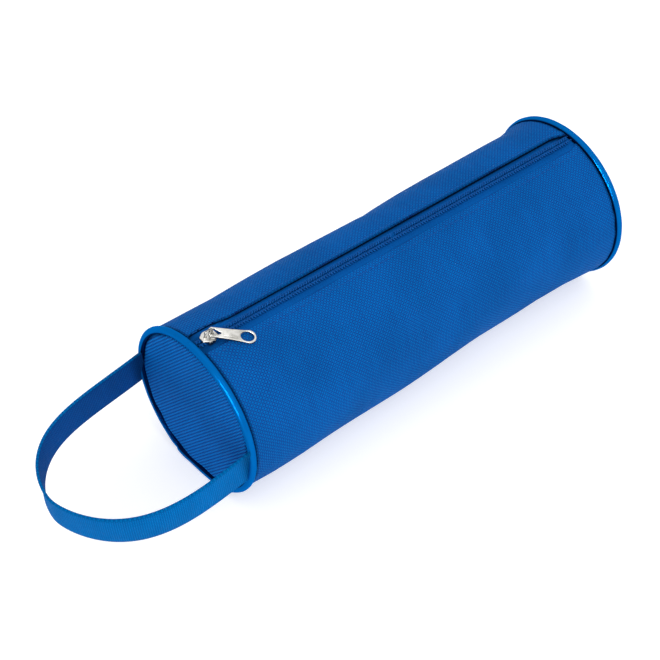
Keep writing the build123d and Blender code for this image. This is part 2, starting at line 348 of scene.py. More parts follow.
def nylon(name, color, deep, roughness):
    """Drawn nylon: zipper wire and sewing thread."""
    shader = Shader(name)
    coords = shader.weave_coords()
    twist = shader.node("ShaderNodeTexWave", wave_type="BANDS", bands_direction="DIAGONAL")
    shader.feed(twist.inputs["Vector"], coords)
    twist.inputs["Scale"].default_value = 1.6
    twist.inputs["Distortion"].default_value = 0.6
    patch = shader.noise(coords, 0.6)
    tone = shader.mix(shader.remap(patch, 0.3, 0.7), deep, color)
    normal = shader.bump(twist.outputs["Fac"], 0.05, 0.5)
    rough = shader.remap(patch, 0.3, 0.7, roughness, roughness + 0.12)
    return shader.finish(tone, rough, normal, Specular_IOR_Level=0.25, Specular_Tint=(0.3, 0.6, 1.0, 1.0))


def nickel(name, deep, bright):
    """Plated die-cast zinc: soft orange peel, hairline scratches and dull patches."""
    shader = Shader(name)
    coords = shader.object_coords()
    peel = shader.noise(coords, 900.0)
    scratch = shader.noise(coords, (9000.0, 700.0, 2500.0))
    patch = shader.noise(coords, 260.0, 3.0)
    tone = shader.mix(shader.remap(patch, 0.35, 0.7), deep, bright)
    rough = shader.math("ADD", shader.remap(patch, 0.3, 0.7, 0.20, 0.34),
                        shader.math("MULTIPLY", scratch, 0.08))
    cut = shader.bump(scratch, 0.01, 0.4)
    normal = shader.bump(peel, 0.05, 0.35, cut)
    return shader.finish(tone, rough, normal, Metallic=1.0)


BODY_CLOTH = woven("body_cloth", rgb(22, 34, 108), rgb(2, 103, 181), 0.9, 0.9, 0.2, streak=0.7, contrast=0.28)
END_CLOTH = woven("end_cloth", rgb(20, 32, 108), rgb(2, 122, 209), 0.93, 0.93, 0.2, streak=0.8, contrast=0.85)
SEAM_CLOTH = woven("seam_cloth", rgb(6, 46, 110), rgb(6, 104, 186), 0.9, 0.9, 0.2)
LINING = coated("lining", rgb(9, 70, 140), 0.06)
PIPING = vinyl("piping", rgb(2, 100, 176), rgb(2, 92, 166))
THREAD = nylon("thread", rgb(8, 88, 166), rgb(6, 70, 142), 0.5)
TAPE = woven("zipper_tape", rgb(10, 62, 136), rgb(8, 94, 170), 0.55, 0.42, 0.06, 0.7, 0.1, contrast=0.3)
COIL = nylon("zipper_coil", rgb(6, 96, 176), rgb(6, 76, 152), 0.4)
METAL = nickel("metal", (0.46, 0.45, 0.42, 1.0), (0.76, 0.75, 0.72, 1.0))
# A dark copy of the metal: painted shade for the walls of the slider and tab.
METAL_WALL_SHADE = nickel("metal_wall_shade", (0.10, 0.10, 0.095, 1.0), (0.26, 0.255, 0.245, 1.0))
WEBBING = woven("webbing", rgb(4, 58, 128), rgb(0, 118, 192), 0.95, 0.6, 0.12, 0.6, 0.5, contrast=0.26)
# Inner face of the webbing: its own weave, in darker colours that are painted shade.
WEBBING_INNER_SHADED = woven("webbing_inner_shaded", rgb(18, 40, 100), rgb(8, 86, 160), 0.8, 0.75, 0.12, 0.7, 0.4,
                      contrast=0.16)


# ---------------------------------------------------------------- mesh tools

def smooth(value, low, high):
    """0 at low to 1 at high, with a soft start and finish."""
    t = np.clip((np.asarray(value, float) - low) / (high - low), 0, 1)
    return t * t * (3 - 2 * t)


def unit(rows):
    """Vectors scaled to length 1."""
    return rows / np.linalg.norm(rows, axis=-1, keepdims=True)


def run_along(path):
    """Length along a path at each of its points."""
    return np.append(0, np.cumsum(np.linalg.norm(np.diff(path, axis=0), axis=1)))


def lean_end(points):
    """Leans the near end plane outward at its upper front, fading out along the tube and along the loop."""
    x, y, z = points.T
    upper_front = (z - AXIS) * math.sin(LEAN_TOWARDS) - y * math.cos(LEAN_TOWARDS)
    share = smooth(x, -88, -107) * (1 - smooth(-x, 116, 150))
    return np.column_stack([x - share * (LEAN_ALL + LEAN_TILT * upper_front / PIPE_RING), y, z])


def add_object(name, data):
    """A new object in the scene."""
    made = bpy.data.objects.new(name, data)
    bpy.context.scene.collection.objects.link(made)
    return made


def make(name, points, faces, weave, materials, kinds=None):
    """A smooth closed mesh from points in mm, with its thread coordinates."""
    mesh = bpy.data.meshes.new(name)
    mesh.from_pydata((lean_end(np.asarray(points, float)) * MM).tolist(), [], faces)
    held = mesh.attributes.new("weave", "FLOAT_VECTOR", "POINT")
    held.data.foreach_set("vector", np.asarray(weave, np.float32).ravel())
    for material in materials:
        mesh.materials.append(material)
    if kinds is not None:
        mesh.polygons.foreach_set("material_index", np.asarray(kinds, np.int32))
    mesh.polygons.foreach_set("use_smooth", np.ones(len(mesh.polygons), bool))
    work = bmesh.new()
    work.from_mesh(mesh)
    bmesh.ops.recalc_face_normals(work, faces=work.faces)
    work.to_mesh(mesh)
    work.free()
    return add_object(name, mesh)


def soften(piece, angle):
    """Keeps edges sharper than the angle crisp and shades the rest smoothly."""
    piece.data.set_sharp_from_angle(angle=math.radians(angle))
    return piece


def band_faces(rows, size, base=0, joined_up=False):
    """Faces between rows of closed loops of points; joined_up also joins the last row to the first."""
    faces = []
    for row in range(rows if joined_up else rows - 1):
        here, there = base + row * size, base + (row + 1) % rows * size
        for k in range(size):
            after = (k + 1) % size
            faces.append((here + k, here + after, there + after, there + k))
    return faces


def lofted(name, outer, inner, weave, materials, angle, edge_steps=EDGE_STEPS, square=False):
    """Closed shell from rows of points on its two faces, with rounded edges between them.

    A second material is for the inner face; square keeps the far edge flat.
    """
    outer, inner, weave = np.array(outer), np.array(inner), np.array(weave)
    turns = np.arange(1, edge_steps) * math.pi / edge_steps

    def edge(start, finish, outward):
        middle, half = (start + finish) / 2, (start - finish) / 2
        reach = outward * np.linalg.norm(half, axis=1)[:, None]
        return np.stack([middle + half * math.cos(t) + reach * math.sin(t) for t in turns], 1)

    last = edge(outer[:, -1], inner[:, -1], unit(outer[:, -1] - outer[:, -2]))
    first = edge(inner[:, 0], outer[:, 0], unit(outer[:, 0] - outer[:, 1]))
    if square:
        across = inner[:, -1] - outer[:, -1]
        last = np.stack([outer[:, -1] + across * t / math.pi for t in turns], 1)
    loops = np.concatenate([outer, last, inner[:, ::-1], first], 1)
    near, far = (np.repeat(weave[:, k:k + 1], len(turns), 1) for k in (weave.shape[1] - 1, 0))
    coords = np.concatenate([weave, near, weave[:, ::-1], far], 1)
    rows, size = loops.shape[:2]
    count = outer.shape[1]
    back, end = count + len(turns), 2 * count + len(turns) - 1
    faces = band_faces(rows, size)
    kinds = [int(len(materials) > 1 and back <= k < end) for k in range(size)] * (rows - 1)
    for base in (0, (rows - 1) * size):
        faces += [(base + k, base + k + 1, base + end - 1 - k, base + end - k) for k in range(count - 1)]
        for run in (range(end, size + 1), range(count - 1, back + 1)):
            faces.append(tuple(base + k % size for k in run))
    kinds += [0] * (len(faces) - len(kinds))
    return soften(make(name, loops.reshape(-1, 3), faces, coords.reshape(-1, 3), materials, kinds), angle)


def tubes(name, paths, radii, ups, sides, material, weave_scale=1.0):
    """Round tubes with closed ends, along open paths."""
    points, faces, weave = [], [], []
    turns = np.arange(sides) * 2 * math.pi / sides
    for path, radius, up in zip(paths, radii, ups):
        tangent = unit(np.gradient(path, axis=0))
        side = unit(np.cross(tangent, up))
        other = np.cross(side, tangent)
        ring = side[:, None] * np.cos(turns)[None, :, None] + other[:, None] * np.sin(turns)[None, :, None]
        shell = path[:, None] + ring * np.asarray(radius)[:, None, None]
        base, rows = len(points), len(path)
        points.extend(shell.reshape(-1, 3))
        weave.extend((at * weave_scale, k / sides * weave_scale, 0.0)
                     for at in run_along(path) for k in range(sides))
        faces += band_faces(rows, sides, base)
        faces += [tuple(range(first, first + sides)) for first in (base, base + (rows - 1) * sides)]
    return make(name, points, faces, weave, [material])


def place(matrix, points):
    """Points taken through a 4 x 4 matrix."""
    points = np.asarray(points, float)
    return points @ matrix[:3, :3].T + matrix[:3, 3]


def turn(axis, angle):
    """Matrix of a turn about an axis."""
    return np.array(Matrix.Rotation(math.radians(angle), 4, axis))


def shift(x, y, z):
    """Matrix of a move."""
    return np.array(Matrix.Translation((x, y, z)))


# Takes the zipper line's own frame to the case's.
ZIPPER = shift(0, 0, AXIS) @ turn("X", ROLL) @ turn("Z", -YAW)


# ---------------------------------------------------------------- cloth tube

waves = [
    (rng.uniform(0.02, 0.09), rng.randint(1, 6), rng.uniform(0, 6.28), rng.uniform(0.4, 1.0))
    for _ in range(9)
]
gathers = [(rng.randint(18, 44), rng.uniform(0, 6.28), rng.uniform(0.4, 1.0)) for _ in range(6)]

# How far the tube's outline stands in or out along it, as (x, at the back, at the front).
SAG = np.array([
    (-106, 0.0, 0.2), (-94, -0.3, 0.7), (-78, -0.9, 0.8), (-60, -0.6, 0.4), (-40, -0.4, 0.1),
    (-20, -0.8, -0.2), (3, -1.8, -0.9), (8, -2.2, -1.1), (14, -1.8, -1.2), (30, -1.2, -1.7),
    (48, -0.9, -1.9), (66, -1.1, -2.2), (84, -1.5, -1.4), (93, -1.8, -0.5), (97, -1.7, -0.2),
    (101, -0.9, 0.0), (104, -0.2, 0.1), (107, 0.0, 0.1),
]).T


def zip_angle(x, distance):
    """Angle from the top towards the front at a distance in front of the zipper's middle."""
    aside = distance + x * math.sin(math.radians(YAW))
    return ROLL + np.degrees(np.arcsin(aside / RADIUS))


def back_lip(x):
    """Edge of the lip behind the zipper: wider by the slider, closing over the far end."""
    wide = 2.2 * (1 - smooth(x, -99, -86)) - 1.6 * (1 - smooth(x, -108, -103))
    return -4.7 - wide + 2.2 * smooth(x, 98, 107)


def front_lip(x):
    """Edge of the lip in front of the zipper."""
    return 5.7 - 1.9 * smooth(x, 101.5, 106.5)


def settle(x, angle):
    """How far the cloth stands in or out from the true cylinder."""
    wrapped = (np.asarray(angle, float) + 180) % 360 - 180
    turned = np.radians(wrapped)
    free = smooth(np.abs(wrapped - ROLL), 22, 46)
    out = np.interp(x, SAG[0], SAG[1]) * np.exp(-((wrapped + 62) / 44) ** 2) * free
    out += np.interp(x, SAG[0], SAG[2]) * np.exp(-((wrapped - 122) / 40) ** 2) * free
    ripple = sum(size * np.sin(rate * x + count * turned + phase) for rate, count, phase, size in waves)
    calm = 1 - smooth(np.abs(x), 96, 106)
    low = smooth(180 - np.abs(wrapped), 10, 40)
    out += 0.13 * ripple * free * low * (0.3 + 0.7 * calm)
    pucker = sum(size * np.sin(count * turned + phase * (1 + (x > 0))) for count, phase, size in gathers)
    rim = np.exp(-(BODY_HALF - np.abs(x)) / 5.0)
    out += 0.07 * pucker * rim * smooth(np.abs(wrapped - ROLL), 14, 24)
    return out


def tube_point(x, angle, radius, offset):
    """Point of the cloth tube, flat where it lies on the table."""
    stand = radius + settle(x, angle) + offset
    turned = np.radians(angle)
    y = -stand * np.sin(turned)
    z = AXIS + stand * np.cos(turned)
    floor = RADIUS - radius
    lift = z - floor
    low = AXIS - RADIUS
    soft = 0.35
    rest = -low / 2 + np.sqrt(low * low / 4 + soft * soft)
    press = lift / 2 + np.sqrt(lift * lift / 4 + soft * soft) - rest * np.exp(-np.maximum(lift, 0) / 5)
    z = np.where(lift < 25, press + floor, z)
    return np.stack([np.broadcast_to(x, y.shape), y, np.maximum(z, floor)], -1)


def hem(distance, row, lift):
    """Height that the folded edge adds, from the fold to its row of stitches."""
    swell = lift * np.exp(-((distance - row * 0.4) / (row * 0.5)) ** 2)
    return swell - GROOVE * np.exp(-((distance - row) / 0.7) ** 2)


def stations(x0, x1, rounded):
    """X stations and how far the cloth has turned in at each; rounded says at which ends it turns."""
    xs = np.linspace(x0, x1, max(int(round((x1 - x0) / STATION)), 2) + 1)
    turned = np.zeros(len(xs))
    steps = np.radians(np.arange(0, 91, 15))
    arc, bend = TURN_IN * (1 - np.cos(steps)), 1 - np.sin(steps)
    if rounded[0]:
        kept = xs > x0 + TURN_IN + 0.6
        xs, turned = np.append(x0 + arc, xs[kept]), np.append(bend, turned[kept])
    if rounded[1]:
        kept = xs < x1 - TURN_IN - 0.6
        xs, turned = np.append(xs[kept], x1 - arc[::-1]), np.append(turned[kept], bend[::-1])
    return xs, turned


def cloth_piece(name, x0, x1, rounded, lip, row, far_angle, sign, lift, count):
    """One piece of the tube: from a lip's edge round to a far angle, sign 1 towards the front."""
    outer, inner, weave = [], [], []
    for x, bend in zip(*stations(x0, x1, rounded)):
        start = zip_angle(x, lip(x))
        total = math.radians(abs(far_angle - start)) * RADIUS
        reach = np.concatenate([HEM_STEPS, np.linspace(HEM_STEPS[-1], total, count + 1)[1:]])
        reach = HEM_START + reach * (1 - HEM_START / total)
        angles = start + sign * np.degrees(reach / RADIUS)
        angles[-1] = far_angle
        raised = hem(reach - HEM_START, row - abs(lip(x)), lift) * (1 - bend)
        drop = bend * 1.3
        slim = np.zeros(len(angles))
        if sign < 0:
            # The hidden strip: it steps in on both faces just past the hinge and runs on behind the panel.
            angles = np.append(angles[:-1], far_angle - np.array([0.0, 0.15, TONGUE]))
            slim = np.append(slim[:-1], [0.0, 0.14, 0.14])
            raised = np.append(raised, [0.0, 0.0])
            reach = np.append(reach, reach[-1] + np.radians([0.15, TONGUE]) * RADIUS)
        outer.append(tube_point(x, angles, RADIUS, raised - drop - slim))
        inner.append(tube_point(x, angles, RADIUS - CLOTH, raised * 0.8 - drop + slim))
        along = np.radians(angles if far_angle > 0 else angles + 360) * RADIUS
        # Painted shade: the cloth goes darker where it turns in at the rims and, on the back lip, along its
        # fold.
        rim = RIM_PAINTED_SHADE * (1 - smooth(BODY_HALF - abs(x), 0.5, 1.7))
        painted_crease_shade = np.maximum(rim, LIP_PAINTED_SHADE * (sign < 0) * (1 - smooth(reach, 0.3, 1.1)))
        weave.append(np.stack([np.full(len(angles), x), along, painted_crease_shade], -1))
    return lofted(name, outer, inner, weave, [BODY_CLOTH, LINING], 40, square=True)


body = cloth_piece("cloth_body", -BODY_HALF, BODY_HALF, (True, True), front_lip, FRONT_ROW,
                   360 + HINGE, 1, FRONT_HEM, 150)
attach(body, "case")
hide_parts("body_panel")


def lip_blend(piece):
    """Takes the piece's placement into its mesh."""
    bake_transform(piece)


lips = {}
for end, x0, x1, rounded in (
    ("near", -BODY_HALF, 0.0, (True, False)),
    ("far", 0.0, BODY_HALF, (False, True)),
):
    lips[end] = cloth_piece("cloth_lip_" + end, x0, x1, rounded, back_lip, BACK_ROW, HINGE, -1, BACK_HEM, 26)
    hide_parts("mouth_flap")
    lip_blend(lips[end])


# ---------------------------------------------------------------- zipper

def tape(name, x0, x1, side):
    """Woven tape, side 1 in front of the zipper's middle and -1 behind."""
    xs = np.linspace(x0, x1, max(int((x1 - x0) / 3), 2))
    across = np.linspace(1.5, TAPE_WIDTH - 0.8, 12)
    across = np.concatenate([[TAPE_EDGE, 1.0], across, [TAPE_WIDTH - 0.3]])
    outer, inner, weave = [], [], []
    for x in xs:
        edge = abs(back_lip(x))
        lean = np.arcsin(across / TAPE_OUTER)
        dip = 0.05 * np.sin(across * 0.9 + 0.04 * x)
        dip += 0.5 * smooth(across, 3.2, 3.8) * (1 - 0.9 * smooth(across, edge - 0.6, edge) * (side < 0))
        for radius, rows in ((TAPE_OUTER + dip, outer), (TAPE_OUTER - TAPE_THICKNESS + dip, inner)):
            local = [np.full(len(across), x), -side * radius * np.sin(lean), radius * np.cos(lean)]
            rows.append(place(ZIPPER, np.stack(local, -1)))
        # Painted shade: the back tape goes dark under the lip's fold, and both tapes towards the near end by
        # the slider.
        shade = 0.85 * smooth(across, edge - 0.9, edge - 0.3) * (side < 0) + 0.6 * (1 - smooth(x, -107, -99))
        weave.append(np.stack([np.full(len(across), x), across, np.minimum(shade, 0.85)], -1))
    return lofted(name, outer, inner, weave, [TAPE], 40, 2)


def coil(name, x0, x1, side):
    """Nylon coil of one tape: a flattened helix whose heads stop at the slider's wedge."""
    phase = 0.0 if side > 0 else 0.5
    first = math.ceil(x0 / COIL_PITCH - phase)
    last = math.floor(x1 / COIL_PITCH - phase) - 0.5
    t = np.arange(0, int((last - first) * COIL_STEPS)) / COIL_STEPS
    spin = 2 * math.pi * t
    head, root = WEDGE_GAP + WIRE, COIL_REACH - WIRE
    square = np.sign(np.cos(spin)) * np.abs(np.cos(spin)) ** 0.8
    across = (root + head) / 2 - (root - head) / 2 * square
    height = COIL_MIDDLE + COIL_RISE * np.sin(spin)
    along = (first + phase + t + 0.10 * np.sin(2 * spin)) * COIL_PITCH
    path = place(ZIPPER, np.stack([along, -side * across, height], -1))
    thick = WIRE * (1 + 0.12 * smooth(-across, -1.1, -0.6))
    return tubes(name, [path], [thick], [np.array([1.0, 0, 0])], 7, COIL, 1.4)


def thread_rows(name, x0, x1, side):
    """Two lines of chain stitch that hold the coil on its tape."""
    xs = np.arange(x0 + 0.4, x1 - 0.3, 0.35)
    paths = []
    for distance in CHAIN_ROWS:
        wobble = 0.10 * np.sin(2 * math.pi * xs / COIL_PITCH + distance * 4)
        height = COIL_MIDDLE + COIL_RISE + WIRE + 0.05 * np.cos(4 * math.pi * xs / COIL_PITCH)
        paths.append(place(ZIPPER, np.stack([xs, -side * (distance + wobble), height], -1)))
    thick, up = np.full(len(xs), CHAIN_RADIUS), np.array([0, 0, 1.0])
    return tubes(name, paths, [thick] * len(paths), [up] * len(paths), 5, THREAD)


TAPE_HALF = BODY_HALF - 0.25
tape_front = tape("zipper_tape_front_cloth", -TAPE_HALF, TAPE_HALF, 1)
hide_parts("zipper_tape_front")
coil_front = coil("zipper_coil_front_wire", -TAPE_HALF, TAPE_HALF, 1)
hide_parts("zipper_coil_front")
chain_front = thread_rows("zipper_chain_front", -TAPE_HALF, TAPE_HALF, 1)
for piece, slot in ((tape_front, "zipper_tape"), (coil_front, "zipper_coil"), (chain_front, "thread")):
    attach(piece, "case")
back_tapes = {}
for end, x0, x1 in (("near", -TAPE_HALF, 0.0), ("far", 0.0, TAPE_HALF)):
    back_tapes[end] = tape("zipper_tape_back_" + end, x0, x1, -1)
    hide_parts("zipper_tape_back")
    wire = coil("zipper_coil_back_" + end, x0, x1, -1)
    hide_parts("zipper_coil_back")
    chain = thread_rows("zipper_chain_back_" + end, x0, x1, -1)
    for piece, slot in ((back_tapes[end], "zipper_tape"), (wire, "zipper_coil"), (chain, "thread")):
        lip_blend(piece)


# ---------------------------------------------------------------- stitches

STITCH_PITCH = 3.1
STITCH_LENGTH = 2.45
STITCH_RADII = 0.24 * np.array([0.45, 0.85, 1.0, 1.04, 1.0, 0.85, 0.45])
STITCH_SHAPE = np.array([-1.0, -0.82, -0.45, 0.0, 0.45, 0.82, 1.0])


def stitches(name, spots):
    """Rounded threads that sink into the cloth at both ends; a spot is a row of 7 points and its up."""
    paths, ups = zip(*spots)
    return tubes(name, paths, [STITCH_RADII] * len(paths), ups, 7, THREAD)


def lip_row(distance, x0, x1, lip, lift):
    """Spots of a topstitch row at a distance in front of the zipper's middle."""
    count = int((x1 - x0) / STITCH_PITCH)
    spots = []
    for step in range(count):
        middle = x0 + (step + 0.5) * (x1 - x0) / count
        path = []
        for part in STITCH_SHAPE:
            x = middle + part * STITCH_LENGTH / 2
            angle = zip_angle(x, distance)
            sunk = 0.10 - 0.34 * part ** 4
            row = abs(distance) - abs(lip(x))
            path.append(tube_point(x, np.array([angle]), RADIUS, hem(row, row, lift) + sunk)[0])
        turned = math.radians(angle)
        spots.append((np.array(path), np.array([0, -math.sin(turned), math.cos(turned)])))
    return spots


front_stitches = stitches("topstitch_front_thread", lip_row(FRONT_ROW, -104, 104, front_lip, FRONT_HEM))
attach(front_stitches, "case")
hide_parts("topstitch_front")
for end, x0, x1 in (("near", -104.0, -0.2), ("far", 0.2, 104.0)):
    row = stitches("topstitch_back_" + end, lip_row(-BACK_ROW, x0, x1, back_lip, BACK_HEM))
    lip_blend(row)
    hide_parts("topstitch_back")


# ---------------------------------------------------------------- ends

def rim_floor(radius, angle, floor, soft=1.2):
    """Ring of a radius round the axis, pressed up to a floor height."""
    turned = np.radians(angle)
    y, z = -radius * np.sin(turned), AXIS + radius * np.cos(turned)
    lift = z - floor
    z = floor + lift / 2 + np.sqrt(lift * lift / 4 + soft * soft * np.exp(-np.maximum(lift, 0) / 3))
    return y, z - soft * 0.55 * np.exp(-np.maximum(lift, 0) / 3)


def disc(name, side):
    """Round end: a slightly pillowed cloth disc whose edge turns into the seam."""
    rings = np.concatenate([np.linspace(0, 0.9, 30)[1:], [0.925, 0.95, 0.97, 0.985, 0.995, 1.0]])
    angles = np.linspace(0, 360, 181)[:-1]
    turned = np.radians(angles)
    edge_y, edge_z = rim_floor(PANEL_RADIUS, angles, PANEL_FLOOR)
    swell = sum(size * np.sin(count // 2 * turned + phase * (2 + side)) for count, phase, size in gathers)
    points, weave = [], []
    tilt = math.radians(END_WEAVE_TILT)

    def surface(share, out):
        y, z = edge_y * share, AXIS + (edge_z - AXIS) * share
        puff = 0.30 * (1 - share ** 2) - 0.85 * smooth(share, 0.955, 1.0) ** 1.5
        wave = 0.12 * np.sin(0.11 * y + 1.3 * side) * np.cos(0.09 * (z - AXIS) + 0.5)
        wave += 0.10 * swell * share ** 6
        x = side * (PANEL_X + puff * out[0] + wave * (1 - smooth(share, 0.97, 1.0)) + out[1])
        across = y * math.cos(tilt) + (z - AXIS) * math.sin(tilt)
        along = -y * math.sin(tilt) + (z - AXIS) * math.cos(tilt)
        # Painted shade: the disc goes darker towards its edge, where it turns into the seam.
        dark = 0.6 * float(smooth(share, 0.962, 0.985))
        return np.stack([x, y, z], -1), np.stack([across, along, np.full(len(y), dark)], -1)

    face, back = (1.0, 0.0), (0.8, -0.95)
    for share, out in [(share, face) for share in rings] + [(share * 0.998, back) for share in rings[::-1]]:
        spots, threads = surface(share, out)
        points.extend(spots)
        weave.extend(threads)
    size, rows = len(angles), 2 * len(rings)
    centre, last = len(points), (rows - 1) * size
    for out in (face, back):
        spots, threads = surface(0.0, out)
        points.append(spots[0])
        weave.append(threads[0])
    faces = band_faces(rows, size)
    kinds = [0] * (len(rings) * size) + [1] * (last - len(rings) * size)
    for k in range(size):
        after = (k + 1) % size
        faces += [(centre, after, k), (centre + 1, last + k, last + after)]
        kinds += [0, 1]
    return soften(make(name, points, faces, weave, [END_CLOTH, LINING], kinds), 60)


def piping(name, side, joint):
    """Covered cord with the flange that is sewn into the seam; its ends overlap at the joint's angle."""
    angles = np.linspace(0, 360, 361)[:-1]
    turns = np.linspace(-130, 197, 43)
    ring = [(math.cos(t), math.sin(t)) for t in np.radians(turns)]
    # Painted shade on the cord's sides where they meet the cloth, and all over the flange.
    painted_crease_shade = np.maximum(smooth(turns, 112, 124), smooth(-turns, 54, 70))
    painted_crease_shade = np.append(painted_crease_shade, [1.0] * len(PIPE_FLANGE))
    points, weave = [], []
    for angle in angles:
        from_joint = (angle - joint + 180) % 360 - 180
        over = smooth(from_joint, -13, -3) * (1 - smooth(from_joint, 1.0, 2.4))
        dent = -0.10 * math.exp(-((from_joint - 3.2) / 1.6) ** 2)
        swell = PIPE * (1 + 0.13 * over + dent + 0.012 * math.sin(math.radians(angle) * 23 + side))
        y, z = rim_floor(PIPE_RING, angle, PIPE)
        arm = unit(np.array([0, y, z - AXIS]))
        outline = [(swell * a + 0.22 * over * max(a, 0), swell * b) for a, b in ring] + PIPE_FLANGE
        for (up, out), shade in zip(outline, painted_crease_shade):
            point = np.array([side * (PIPE_X + out), y, z]) + arm * up
            point[2] = max(point[2], 0.02)
            points.append(point)
            weave.append((math.atan2(out, up + 1e-6) * PIPE, math.radians(angle) * PIPE_RING, shade))
    faces = band_faces(len(angles), len(painted_crease_shade), joined_up=True)
    return soften(make(name, points, faces, weave, [PIPING]), 60)


def seam_ring(name, side):
    """Turned-in cloth edges behind the rim seam, open where the zipper runs through."""
    angles = np.linspace(25, 338, 150)
    outer, inner, weave = [], [], []
    for angle in angles:
        fray = 0.25 * math.sin(angle * 1.7) + 0.18 * math.sin(angle * 4.3 + side)
        xs = [103.6 + fray, 104.2, 104.9, 105.6, 106.2]
        stand = SEAM_RADIUS + 0.12 * math.sin(angle * 0.9)
        for radius, floor, rows in ((stand, 2.6, outer), (stand - SEAM_THICKNESS, 3.6, inner)):
            y, z = rim_floor(radius, angle, floor, SEAM_SOFT)
            rows.append([(side * x, y, z) for x in xs])
        weave.append([(x, math.radians(angle) * 36.0, 0.0) for x in xs])
    return lofted(name, outer, inner, weave, [SEAM_CLOTH], 40, 2)


def seam_row(name, side):
    """Machine stitches along the turned-in edges."""
    spots = []
    for angle in np.arange(28, 335, 4.9):
        path = []
        for part in STITCH_SHAPE:
            here = angle + math.degrees(part * 1.2 / 35.0)
            y, z = rim_floor(35.02 + 0.24 * part ** 4, here, 3.72, SEAM_SOFT)
            path.append((side * SEAM_ROW, y, z))
        turned = math.radians(angle)
        spots.append((np.array(path), np.array([0, math.sin(turned), -math.cos(turned)])))
    return stitches(name, spots)


for end, side, joint in (("near", -1, 202.0), ("far", 1, 236.0)):
    for made, node, slot in (
        (disc(end + "_end_cloth", side), end + "_end_panel", "end_cloth"),
        (piping(end + "_piping_cord", side, joint), end + "_piping", "piping"),
        (seam_ring(end + "_seam_cloth", side), end + "_seam_allowance", "seam_cloth"),
        (seam_row(end + "_seam_stitches", side), end + "_seam_thread", "thread"),
    ):
        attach(made, "case")
        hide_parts(node)


# ---------------------------------------------------------------- slider and pull tab

def plate(outlines, thickness, bevel, matrix):
    """Flat part with rounded edges; the first outline is the outside and the rest are holes."""
    curve = bpy.data.curves.new("outline", "CURVE")
    curve.dimensions = "2D"
    curve.fill_mode = "BOTH"
    curve.extrude = (thickness / 2 - bevel) * MM
    curve.bevel_depth = bevel * MM
    curve.bevel_resolution = 3
    curve.offset = -bevel * MM
    for outline in outlines:
        spline = curve.splines.new("POLY")
        spline.points.add(len(outline) - 1)
        for point, (x, y) in zip(spline.points, outline):
            point.co = (x * MM, y * MM, 0, 1)
        spline.use_cyclic_u = True
    holder = add_object("outline", curve)
    bpy.context.view_layer.update()
    mesh = bpy.data.meshes.new_from_object(holder.evaluated_get(bpy.context.evaluated_depsgraph_get()))
    bpy.data.objects.remove(holder)
    placed = Matrix(matrix.tolist())
    placed.translation = Vector(matrix[:3, 3] * MM)
    mesh.transform(placed)
    return mesh


def rounded(corners, radius, steps=6):
    """Outline through corners, each rounded to a radius."""
    points = []
    count = len(corners)
    for k in range(count):
        here = Vector(corners[k])
        before = (Vector(corners[k - 1]) - here).normalized()
        after = (Vector(corners[(k + 1) % count]) - here).normalized()
        size = radius[k] if isinstance(radius, (list, tuple)) else radius
        half = before.angle(after) / 2
        if size < 1e-3 or half > 1.54:
            points.append(tuple(here))
            continue
        reach = size / math.tan(half)
        start, finish = here + before * reach, here + after * reach
        centre = here + (before + after).normalized() * (size / math.sin(half))
        first, last = start - centre, finish - centre
        for step in range(steps + 1):
            bent = first.lerp(last, step / steps).normalized() * size
            points.append(tuple(centre + bent))
    return points


def circle(x, y, rx, ry, count):
    """Outline of an ellipse."""
    return [(x + rx * math.cos(t), y + ry * math.sin(t)) for t in np.arange(count) * 2 * math.pi / count]


def joined(name, meshes, up):
    """One object from several closed meshes; walls that stand along up get the dark copy of the metal, a
    painted shade.
    """
    work = bmesh.new()
    for mesh in meshes:
        work.from_mesh(mesh)
    bmesh.ops.remove_doubles(work, verts=work.verts, dist=2e-6)
    bmesh.ops.recalc_face_normals(work, faces=work.faces)
    mesh = bpy.data.meshes.new(name)
    work.to_mesh(mesh)
    work.free()
    mesh.materials.append(METAL)
    mesh.materials.append(METAL_WALL_SHADE)
    # Painted shade: walls take the dark copy of the metal.
    walls = [int(abs(face.normal.dot(Vector(up))) < 0.45) for face in mesh.polygons]
    mesh.polygons.foreach_set("material_index", walls)
    mesh.polygons.foreach_set("use_smooth", np.ones(len(mesh.polygons), bool))
    return soften(add_object(name, mesh), 35)


def swept_bar(path, width, thickness, matrix):
    """Bar of rounded rectangular section along a path in the local XZ plane."""
    tangent = unit(np.gradient(np.array(path, float), axis=0))
    normal = np.stack([-tangent[:, 2], np.zeros(len(path)), tangent[:, 0]], -1)
    outline = rounded([(-width / 2, -thickness / 2), (width / 2, -thickness / 2),
                       (width / 2, thickness / 2), (-width / 2, thickness / 2)], 0.22, 3)
    size = len(outline)
    points = []
    for point, up in zip(path, normal):
        points.extend(point + np.array([0, a, 0]) + up * b for a, b in outline)
    faces = band_faces(len(path), size)
    faces += [tuple(range(first, first + size)) for first in (0, (len(path) - 1) * size)]
    mesh = bpy.data.meshes.new("bar")
    mesh.from_pydata((place(matrix, points) * MM).tolist(), [], faces)
    return mesh


def shield(width):
    """Outline of a slider plate: blunt nose, broadest ahead of its middle, narrower behind."""
    half, nose, rear = SLIDER_LENGTH / 2, width * 0.238, width * 0.35
    side = [(-half, nose), (-half + 2.7, width / 2), (0.5, width / 2), (half, rear)]
    outline = [(x, -y) for x, y in side] + side[::-1]
    return rounded(outline, [0.8, 1.2, 1.2, 0.7, 0.7, 1.2, 1.2, 0.8])


def slider_plate(outline, low, high, bevel, aside=0.0):
    """Flat part of the slider between two levels."""
    return plate([outline], high - low, bevel, slider_frame @ shift(0, aside, (low + high) / 2))


